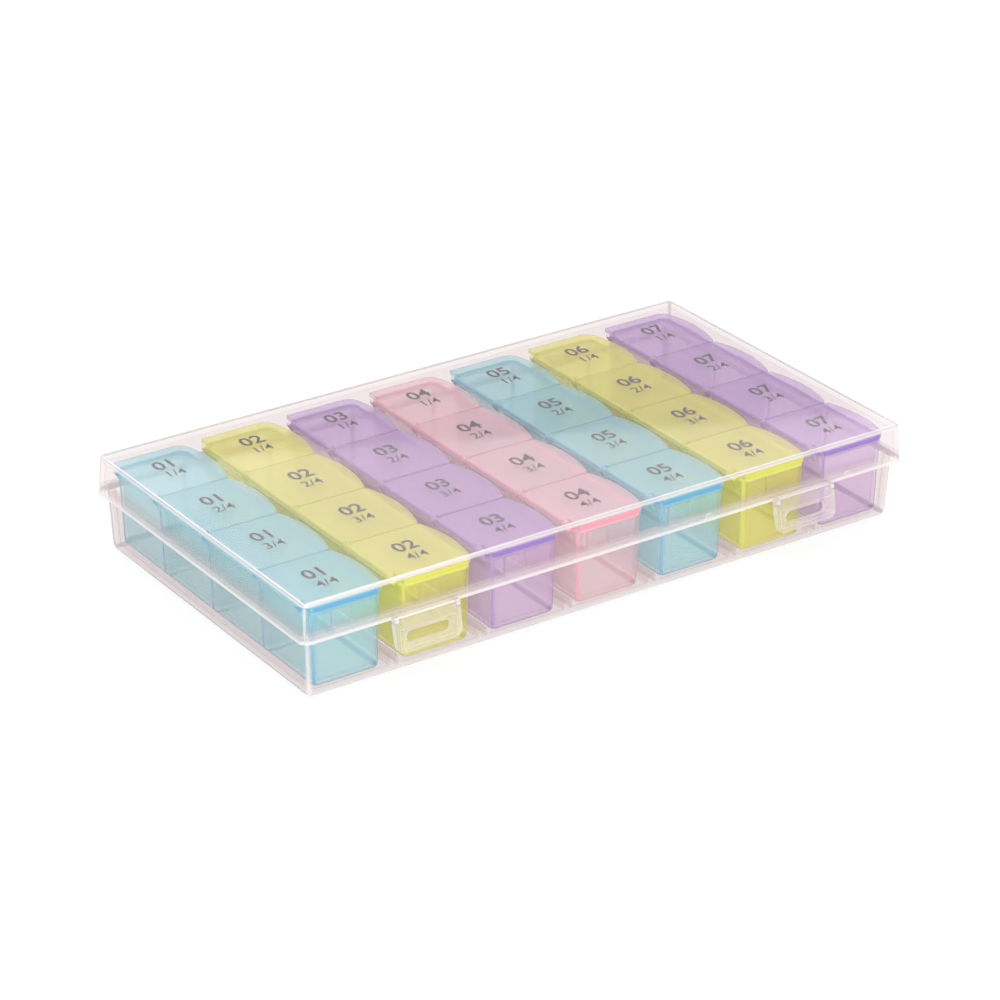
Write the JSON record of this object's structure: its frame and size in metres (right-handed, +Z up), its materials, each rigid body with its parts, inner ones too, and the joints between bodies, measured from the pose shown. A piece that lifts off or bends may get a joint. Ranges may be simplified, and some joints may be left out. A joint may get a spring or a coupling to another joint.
{
  "type": "weekly pill organizer",
  "caption": "Flat clear hinged case with latches, holding a row of translucent coloured day trays whose compartments have scalloped flip lids for sorting pills by day and dose.",
  "frame": {"origin": "middle of the case's underside, on the surface it rests on", "axes": "+X along the days from the first tray to the last, +Y to the case hinge at the back, +Z up"},
  "size_m": [0.215, 0.1287, 0.031],
  "materials": {
    "case_clear": "clear gloss",
    "tray_blue": "translucent gloss",
    "tray_yellow": "translucent gloss",
    "tray_purple": "translucent gloss",
    "tray_pink": "translucent gloss"
  },
  "bodies": {
    "case": {"case_base": "case_clear", "day_tray_1": "tray_blue", "day_tray_2": "tray_yellow", "day_tray_3": "tray_purple", "day_tray_4": "tray_pink", "day_tray_5": "tray_blue", "day_tray_6": "tray_yellow", "day_tray_7": "tray_purple"},
    "case_lid": {"case_lid": "case_clear"},
    "latch_left": {"latch_left": "case_clear"},
    "latch_right": {"latch_right": "case_clear"},
    "pill_lid_1_1": {"pill_lid_1_1": "tray_blue"},
    "pill_lid_1_2": {"pill_lid_1_2": "tray_blue"},
    "pill_lid_1_3": {"pill_lid_1_3": "tray_blue"},
    "pill_lid_1_4": {"pill_lid_1_4": "tray_blue"},
    "pill_lid_2_1": {"pill_lid_2_1": "tray_yellow"},
    "pill_lid_2_2": {"pill_lid_2_2": "tray_yellow"},
    "pill_lid_2_3": {"pill_lid_2_3": "tray_yellow"},
    "pill_lid_2_4": {"pill_lid_2_4": "tray_yellow"},
    "pill_lid_3_1": {"pill_lid_3_1": "tray_purple"},
    "pill_lid_3_2": {"pill_lid_3_2": "tray_purple"},
    "pill_lid_3_3": {"pill_lid_3_3": "tray_purple"},
    "pill_lid_3_4": {"pill_lid_3_4": "tray_purple"},
    "pill_lid_4_1": {"pill_lid_4_1": "tray_pink"},
    "pill_lid_4_2": {"pill_lid_4_2": "tray_pink"},
    "pill_lid_4_3": {"pill_lid_4_3": "tray_pink"},
    "pill_lid_4_4": {"pill_lid_4_4": "tray_pink"},
    "pill_lid_5_1": {"pill_lid_5_1": "tray_blue"},
    "pill_lid_5_2": {"pill_lid_5_2": "tray_blue"},
    "pill_lid_5_3": {"pill_lid_5_3": "tray_blue"},
    "pill_lid_5_4": {"pill_lid_5_4": "tray_blue"},
    "pill_lid_6_1": {"pill_lid_6_1": "tray_yellow"},
    "pill_lid_6_2": {"pill_lid_6_2": "tray_yellow"},
    "pill_lid_6_3": {"pill_lid_6_3": "tray_yellow"},
    "pill_lid_6_4": {"pill_lid_6_4": "tray_yellow"},
    "pill_lid_7_1": {"pill_lid_7_1": "tray_purple"},
    "pill_lid_7_2": {"pill_lid_7_2": "tray_purple"},
    "pill_lid_7_3": {"pill_lid_7_3": "tray_purple"},
    "pill_lid_7_4": {"pill_lid_7_4": "tray_purple"}
  },
  "joints": [
    {"name": "case_lid_hinge", "type": "hinge", "parent": "case", "child": "case_lid", "pos_m": [0, 0.0629, 0.0182], "axis": [-1, 0, 0], "range_deg": [0, 180]},
    {"name": "latch_left_hinge", "type": "hinge", "parent": "case_lid", "child": "latch_left", "pos_m": [-0.0677, -0.0612, 0.0189], "axis": [-1, 0, 0], "range_deg": [0, 30]},
    {"name": "latch_right_hinge", "type": "hinge", "parent": "case_lid", "child": "latch_right", "pos_m": [0.0677, -0.0612, 0.0189], "axis": [-1, 0, 0], "range_deg": [0, 30]},
    {"name": "pill_lid_1_1_hinge", "type": "hinge", "parent": "case", "child": "pill_lid_1_1", "pos_m": [-0.10377, 0.04297, 0.0274], "axis": [0, -1, 0], "range_deg": [0, 140]},
    {"name": "pill_lid_1_2_hinge", "type": "hinge", "parent": "case", "child": "pill_lid_1_2", "pos_m": [-0.10377, 0.01432, 0.0274], "axis": [0, -1, 0], "range_deg": [0, 140]},
    {"name": "pill_lid_1_3_hinge", "type": "hinge", "parent": "case", "child": "pill_lid_1_3", "pos_m": [-0.10377, -0.01432, 0.0274], "axis": [0, -1, 0], "range_deg": [0, 140]},
    {"name": "pill_lid_1_4_hinge", "type": "hinge", "parent": "case", "child": "pill_lid_1_4", "pos_m": [-0.10377, -0.04297, 0.0274], "axis": [0, -1, 0], "range_deg": [0, 140]},
    {"name": "pill_lid_2_1_hinge", "type": "hinge", "parent": "case", "child": "pill_lid_2_1", "pos_m": [-0.07357, 0.04297, 0.0274], "axis": [0, -1, 0], "range_deg": [0, 140]},
    {"name": "pill_lid_2_2_hinge", "type": "hinge", "parent": "case", "child": "pill_lid_2_2", "pos_m": [-0.07357, 0.01432, 0.0274], "axis": [0, -1, 0], "range_deg": [0, 140]},
    {"name": "pill_lid_2_3_hinge", "type": "hinge", "parent": "case", "child": "pill_lid_2_3", "pos_m": [-0.07357, -0.01432, 0.0274], "axis": [0, -1, 0], "range_deg": [0, 140]},
    {"name": "pill_lid_2_4_hinge", "type": "hinge", "parent": "case", "child": "pill_lid_2_4", "pos_m": [-0.07357, -0.04297, 0.0274], "axis": [0, -1, 0], "range_deg": [0, 140]},
    {"name": "pill_lid_3_1_hinge", "type": "hinge", "parent": "case", "child": "pill_lid_3_1", "pos_m": [-0.04337, 0.04297, 0.0274], "axis": [0, -1, 0], "range_deg": [0, 140]},
    {"name": "pill_lid_3_2_hinge", "type": "hinge", "parent": "case", "child": "pill_lid_3_2", "pos_m": [-0.04337, 0.01432, 0.0274], "axis": [0, -1, 0], "range_deg": [0, 140]},
    {"name": "pill_lid_3_3_hinge", "type": "hinge", "parent": "case", "child": "pill_lid_3_3", "pos_m": [-0.04337, -0.01432, 0.0274], "axis": [0, -1, 0], "range_deg": [0, 140]},
    {"name": "pill_lid_3_4_hinge", "type": "hinge", "parent": "case", "child": "pill_lid_3_4", "pos_m": [-0.04337, -0.04297, 0.0274], "axis": [0, -1, 0], "range_deg": [0, 140]},
    {"name": "pill_lid_4_1_hinge", "type": "hinge", "parent": "case", "child": "pill_lid_4_1", "pos_m": [-0.01317, 0.04297, 0.0274], "axis": [0, -1, 0], "range_deg": [0, 140]},
    {"name": "pill_lid_4_2_hinge", "type": "hinge", "parent": "case", "child": "pill_lid_4_2", "pos_m": [-0.01317, 0.01432, 0.0274], "axis": [0, -1, 0], "range_deg": [0, 140]},
    {"name": "pill_lid_4_3_hinge", "type": "hinge", "parent": "case", "child": "pill_lid_4_3", "pos_m": [-0.01317, -0.01432, 0.0274], "axis": [0, -1, 0], "range_deg": [0, 140]},
    {"name": "pill_lid_4_4_hinge", "type": "hinge", "parent": "case", "child": "pill_lid_4_4", "pos_m": [-0.01317, -0.04297, 0.0274], "axis": [0, -1, 0], "range_deg": [0, 140]},
    {"name": "pill_lid_5_1_hinge", "type": "hinge", "parent": "case", "child": "pill_lid_5_1", "pos_m": [0.01703, 0.04297, 0.0274], "axis": [0, -1, 0], "range_deg": [0, 140]},
    {"name": "pill_lid_5_2_hinge", "type": "hinge", "parent": "case", "child": "pill_lid_5_2", "pos_m": [0.01703, 0.01432, 0.0274], "axis": [0, -1, 0], "range_deg": [0, 140]},
    {"name": "pill_lid_5_3_hinge", "type": "hinge", "parent": "case", "child": "pill_lid_5_3", "pos_m": [0.01703, -0.01432, 0.0274], "axis": [0, -1, 0], "range_deg": [0, 140]},
    {"name": "pill_lid_5_4_hinge", "type": "hinge", "parent": "case", "child": "pill_lid_5_4", "pos_m": [0.01703, -0.04297, 0.0274], "axis": [0, -1, 0], "range_deg": [0, 140]},
    {"name": "pill_lid_6_1_hinge", "type": "hinge", "parent": "case", "child": "pill_lid_6_1", "pos_m": [0.04723, 0.04297, 0.0274], "axis": [0, -1, 0], "range_deg": [0, 140]},
    {"name": "pill_lid_6_2_hinge", "type": "hinge", "parent": "case", "child": "pill_lid_6_2", "pos_m": [0.04723, 0.01432, 0.0274], "axis": [0, -1, 0], "range_deg": [0, 140]},
    {"name": "pill_lid_6_3_hinge", "type": "hinge", "parent": "case", "child": "pill_lid_6_3", "pos_m": [0.04723, -0.01432, 0.0274], "axis": [0, -1, 0], "range_deg": [0, 140]},
    {"name": "pill_lid_6_4_hinge", "type": "hinge", "parent": "case", "child": "pill_lid_6_4", "pos_m": [0.04723, -0.04297, 0.0274], "axis": [0, -1, 0], "range_deg": [0, 140]},
    {"name": "pill_lid_7_1_hinge", "type": "hinge", "parent": "case", "child": "pill_lid_7_1", "pos_m": [0.07743, 0.04297, 0.0274], "axis": [0, -1, 0], "range_deg": [0, 140]},
    {"name": "pill_lid_7_2_hinge", "type": "hinge", "parent": "case", "child": "pill_lid_7_2", "pos_m": [0.07743, 0.01432, 0.0274], "axis": [0, -1, 0], "range_deg": [0, 140]},
    {"name": "pill_lid_7_3_hinge", "type": "hinge", "parent": "case", "child": "pill_lid_7_3", "pos_m": [0.07743, -0.01432, 0.0274], "axis": [0, -1, 0], "range_deg": [0, 140]},
    {"name": "pill_lid_7_4_hinge", "type": "hinge", "parent": "case", "child": "pill_lid_7_4", "pos_m": [0.07743, -0.04297, 0.0274], "axis": [0, -1, 0], "range_deg": [0, 140]}
  ],
  "couplings": [
    {"joint": "pill_lid_1_1_hinge", "follows": "case_lid_hinge", "ratio": 0.5},
    {"joint": "pill_lid_1_2_hinge", "follows": "case_lid_hinge", "ratio": 0.5},
    {"joint": "pill_lid_1_3_hinge", "follows": "case_lid_hinge", "ratio": 0.5},
    {"joint": "pill_lid_1_4_hinge", "follows": "case_lid_hinge", "ratio": 0.5},
    {"joint": "pill_lid_2_1_hinge", "follows": "case_lid_hinge", "ratio": 0.5},
    {"joint": "pill_lid_2_2_hinge", "follows": "case_lid_hinge", "ratio": 0.5},
    {"joint": "pill_lid_2_3_hinge", "follows": "case_lid_hinge", "ratio": 0.5},
    {"joint": "pill_lid_2_4_hinge", "follows": "case_lid_hinge", "ratio": 0.5},
    {"joint": "pill_lid_3_1_hinge", "follows": "case_lid_hinge", "ratio": 0.5},
    {"joint": "pill_lid_3_2_hinge", "follows": "case_lid_hinge", "ratio": 0.5},
    {"joint": "pill_lid_3_3_hinge", "follows": "case_lid_hinge", "ratio": 0.5},
    {"joint": "pill_lid_3_4_hinge", "follows": "case_lid_hinge", "ratio": 0.5},
    {"joint": "pill_lid_4_1_hinge", "follows": "case_lid_hinge", "ratio": 0.5},
    {"joint": "pill_lid_4_2_hinge", "follows": "case_lid_hinge", "ratio": 0.5},
    {"joint": "pill_lid_4_3_hinge", "follows": "case_lid_hinge", "ratio": 0.5},
    {"joint": "pill_lid_4_4_hinge", "follows": "case_lid_hinge", "ratio": 0.5},
    {"joint": "pill_lid_5_1_hinge", "follows": "case_lid_hinge", "ratio": 0.5},
    {"joint": "pill_lid_5_2_hinge", "follows": "case_lid_hinge", "ratio": 0.5},
    {"joint": "pill_lid_5_3_hinge", "follows": "case_lid_hinge", "ratio": 0.5},
    {"joint": "pill_lid_5_4_hinge", "follows": "case_lid_hinge", "ratio": 0.5},
    {"joint": "pill_lid_6_1_hinge", "follows": "case_lid_hinge", "ratio": 0.5},
    {"joint": "pill_lid_6_2_hinge", "follows": "case_lid_hinge", "ratio": 0.5},
    {"joint": "pill_lid_6_3_hinge", "follows": "case_lid_hinge", "ratio": 0.5},
    {"joint": "pill_lid_6_4_hinge", "follows": "case_lid_hinge", "ratio": 0.5},
    {"joint": "pill_lid_7_1_hinge", "follows": "case_lid_hinge", "ratio": 0.5},
    {"joint": "pill_lid_7_2_hinge", "follows": "case_lid_hinge", "ratio": 0.5},
    {"joint": "pill_lid_7_3_hinge", "follows": "case_lid_hinge", "ratio": 0.5},
    {"joint": "pill_lid_7_4_hinge", "follows": "case_lid_hinge", "ratio": 0.5}
  ]
}
